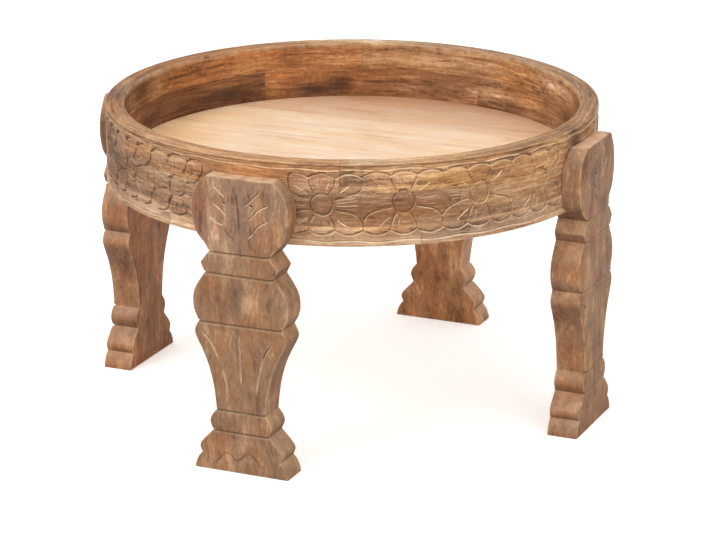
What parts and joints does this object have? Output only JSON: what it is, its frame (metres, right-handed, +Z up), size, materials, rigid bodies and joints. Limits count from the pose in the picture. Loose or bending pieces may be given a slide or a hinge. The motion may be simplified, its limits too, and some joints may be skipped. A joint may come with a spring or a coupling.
{
  "type": "low tray-top table",
  "caption": "Round low wooden table: a deep carved ring round a sunk boarded top, on shaped plank legs that clasp the ring from outside.",
  "frame": {"origin": "on the floor, under the table's centre", "axes": "+Z up; the front leg stands towards -Y, and the top's boards run along X"},
  "size_m": [0.7492, 0.7492, 0.439],
  "materials": {
    "ring_wood": "sanded and waxed mango wood, brown",
    "ring_wood_pale": "sanded and waxed mango wood, pale",
    "top_wood": "sanded light boards, matt",
    "leg_wood": "sanded and waxed mango wood, reddish brown",
    "frame_wood": "plain sawn wood",
    "steel": "dull steel"
  },
  "bodies": {
    "root": {"ring_bottom_block_1": "ring_wood_pale", "ring_bottom_block_2": "ring_wood_pale", "ring_bottom_block_3": "ring_wood_pale", "ring_bottom_block_4": "ring_wood_pale", "ring_bottom_block_5": "ring_wood_pale", "ring_bottom_block_6": "ring_wood_pale", "ring_middle_block_1": "ring_wood", "ring_middle_block_2": "ring_wood", "ring_middle_block_3": "ring_wood", "ring_middle_block_4": "ring_wood", "ring_middle_block_5": "ring_wood", "ring_middle_block_6": "ring_wood", "ring_top_block_1": "ring_wood", "ring_top_block_2": "ring_wood", "ring_top_block_3": "ring_wood", "ring_top_block_4": "ring_wood", "ring_top_block_5": "ring_wood", "ring_top_block_6": "ring_wood", "top_board_1": "top_wood", "top_board_2": "top_wood", "top_board_3": "top_wood", "top_board_4": "top_wood", "top_board_5": "top_wood", "batten_left": "frame_wood", "batten_right": "frame_wood", "cleat_right": "frame_wood", "cleat_back": "frame_wood", "cleat_left": "frame_wood", "cleat_front": "frame_wood", "leg_front": "leg_wood", "leg_right": "leg_wood", "leg_back": "leg_wood", "leg_left": "leg_wood", "leg_front_nail_1": "steel", "leg_front_nail_2": "steel", "leg_right_nail_1": "steel", "leg_right_nail_2": "steel", "leg_back_nail_1": "steel", "leg_back_nail_2": "steel", "leg_left_nail_1": "steel", "leg_left_nail_2": "steel", "cleat_right_screw_1": "steel", "cleat_right_screw_2": "steel", "cleat_back_screw_1": "steel", "cleat_back_screw_2": "steel", "cleat_left_screw_1": "steel", "cleat_left_screw_2": "steel", "cleat_front_screw_1": "steel", "cleat_front_screw_2": "steel", "batten_left_screw_1": "steel", "batten_left_screw_2": "steel", "batten_left_screw_3": "steel", "batten_left_screw_4": "steel", "batten_left_screw_5": "steel", "batten_right_screw_1": "steel", "batten_right_screw_2": "steel", "batten_right_screw_3": "steel", "batten_right_screw_4": "steel", "batten_right_screw_5": "steel"}
  },
  "joints": []
}
